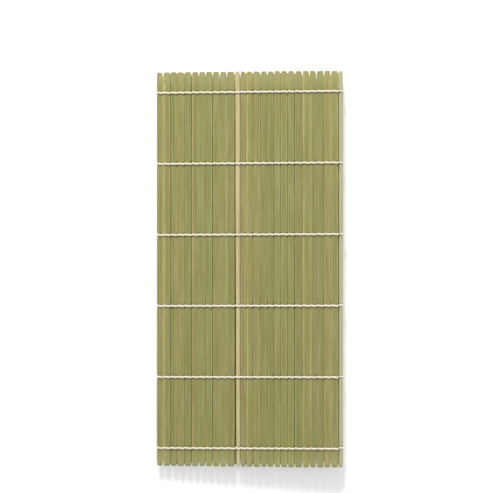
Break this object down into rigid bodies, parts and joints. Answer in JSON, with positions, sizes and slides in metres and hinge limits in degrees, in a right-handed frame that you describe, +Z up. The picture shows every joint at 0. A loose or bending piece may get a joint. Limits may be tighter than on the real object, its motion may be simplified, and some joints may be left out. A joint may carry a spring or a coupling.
{
  "type": "sushi rolling mat",
  "caption": "Sushi rolling mat of flat bamboo strips bound side by side with cotton cords, folded in half; it opens flat and rolls up.",
  "frame": {"origin": "on the table, under the middle of the folded mat", "axes": "+Z up; +Y along the strips, towards the end that is at the top of the picture; +X towards the fold"},
  "size_m": [0.1434, 0.3, 0.0148],
  "materials": {
    "bamboo": "satin",
    "pale_bamboo": "satin",
    "cotton": "matte"
  },
  "bodies": {
    "lower_half": {"strip_29": "bamboo", "strip_30": "bamboo", "strip_31": "bamboo", "strip_32": "bamboo", "strip_33": "bamboo", "strip_34": "bamboo", "strip_35": "bamboo", "strip_36": "bamboo", "strip_37": "bamboo", "strip_38": "bamboo", "strip_39": "bamboo", "strip_40": "bamboo", "strip_41": "bamboo", "strip_42": "bamboo", "strip_43": "bamboo", "strip_44": "bamboo", "strip_45": "bamboo", "strip_46": "bamboo", "strip_47": "bamboo", "strip_48": "bamboo", "strip_49": "bamboo", "strip_50": "bamboo", "strip_51": "bamboo", "strip_52": "bamboo", "strip_53": "bamboo", "cord_1": "cotton", "cord_2": "cotton", "cord_3": "cotton", "cord_4": "cotton", "cord_5": "cotton", "cord_6": "cotton"},
    "strip_28": {"strip_28": "bamboo"},
    "strip_27": {"strip_27": "bamboo"},
    "strips_24_26": {"strip_24": "bamboo", "strip_25": "bamboo", "strip_26": "bamboo"},
    "strips_21_23": {"strip_21": "bamboo", "strip_22": "bamboo", "strip_23": "bamboo"},
    "strips_18_20": {"strip_18": "bamboo", "strip_19": "bamboo", "strip_20": "bamboo"},
    "strips_15_17": {"strip_15": "bamboo", "strip_16": "bamboo", "strip_17": "bamboo"},
    "strips_12_14": {"strip_12": "pale_bamboo", "strip_13": "bamboo", "strip_14": "bamboo"},
    "strips_09_11": {"strip_09": "bamboo", "strip_10": "bamboo", "strip_11": "bamboo"},
    "strips_06_08": {"strip_06": "bamboo", "strip_07": "bamboo", "strip_08": "bamboo"},
    "strips_03_05": {"strip_03": "bamboo", "strip_04": "bamboo", "strip_05": "bamboo"},
    "strips_01_02": {"strip_01": "bamboo", "strip_02": "bamboo"}
  },
  "joints": [
    {"name": "unfold", "type": "hinge", "parent": "lower_half", "child": "strip_28", "pos_m": [0.06688, 0, 0.00285], "axis": [0, 1, 0], "range_deg": [0, 60.91], "deforming": ["cord_1", "cord_2", "cord_3", "cord_4", "cord_5", "cord_6"]},
    {"name": "hinge_27", "type": "hinge", "parent": "strip_28", "child": "strip_27", "pos_m": [0.06945, 0, 0.00747], "axis": [0, 1, 0], "range_deg": [0, 60.91], "deforming": ["cord_1", "cord_2", "cord_3", "cord_4", "cord_5", "cord_6"]},
    {"name": "hinge_26", "type": "hinge", "parent": "strip_27", "child": "strips_24_26", "pos_m": [0.06666, 0, 0.01197], "axis": [0, 1, 0], "range_deg": [0, 60.91], "deforming": ["cord_1", "cord_2", "cord_3", "cord_4", "cord_5", "cord_6"]},
    {"name": "roll", "type": "hinge", "parent": "strips_24_26", "child": "strips_21_23", "pos_m": [0.05024, 0, 0.01205], "axis": [0, -1, 0], "range_deg": [-36, 0], "deforming": ["cord_1", "cord_2", "cord_3", "cord_4", "cord_5", "cord_6"]},
    {"name": "hinge_20", "type": "hinge", "parent": "strips_21_23", "child": "strips_18_20", "pos_m": [0.03381, 0, 0.01127], "axis": [0, -1, 0], "range_deg": [-36, 0], "deforming": ["cord_1", "cord_2", "cord_3", "cord_4", "cord_5", "cord_6"]},
    {"name": "hinge_17", "type": "hinge", "parent": "strips_18_20", "child": "strips_15_17", "pos_m": [0.01817, 0, 0.01053], "axis": [0, -1, 0], "range_deg": [-36, 0], "deforming": ["cord_1", "cord_2", "cord_3", "cord_4", "cord_5", "cord_6"]},
    {"name": "hinge_14", "type": "hinge", "parent": "strips_15_17", "child": "strips_12_14", "pos_m": [0.00221, 0, 0.00977], "axis": [0, -1, 0], "range_deg": [-36, 0], "deforming": ["cord_1", "cord_2", "cord_3", "cord_4", "cord_5", "cord_6"]},
    {"name": "hinge_11", "type": "hinge", "parent": "strips_12_14", "child": "strips_09_11", "pos_m": [-0.01153, 0, 0.00912], "axis": [0, -1, 0], "range_deg": [-36, 0], "deforming": ["cord_1", "cord_2", "cord_3", "cord_4", "cord_5", "cord_6"]},
    {"name": "hinge_08", "type": "hinge", "parent": "strips_09_11", "child": "strips_06_08", "pos_m": [-0.02849, 0, 0.00831], "axis": [0, -1, 0], "range_deg": [-36, 0], "deforming": ["cord_1", "cord_2", "cord_3", "cord_4", "cord_5", "cord_6"]},
    {"name": "hinge_05", "type": "hinge", "parent": "strips_06_08", "child": "strips_03_05", "pos_m": [-0.0444, 0, 0.00756], "axis": [0, -1, 0], "range_deg": [-36, 0], "deforming": ["cord_1", "cord_2", "cord_3", "cord_4", "cord_5", "cord_6"]},
    {"name": "hinge_02", "type": "hinge", "parent": "strips_03_05", "child": "strips_01_02", "pos_m": [-0.06057, 0, 0.00679], "axis": [0, -1, 0], "range_deg": [-36, 0], "deforming": ["cord_1", "cord_2", "cord_3", "cord_4", "cord_5", "cord_6"]}
  ],
  "couplings": [
    {"joint": "hinge_27", "follows": "unfold", "ratio": 1},
    {"joint": "hinge_26", "follows": "unfold", "ratio": 1},
    {"joint": "hinge_20", "follows": "roll", "ratio": 1},
    {"joint": "hinge_17", "follows": "roll", "ratio": 1},
    {"joint": "hinge_14", "follows": "roll", "ratio": 1},
    {"joint": "hinge_11", "follows": "roll", "ratio": 1},
    {"joint": "hinge_08", "follows": "roll", "ratio": 1},
    {"joint": "hinge_05", "follows": "roll", "ratio": 1},
    {"joint": "hinge_02", "follows": "roll", "ratio": 1}
  ]
}
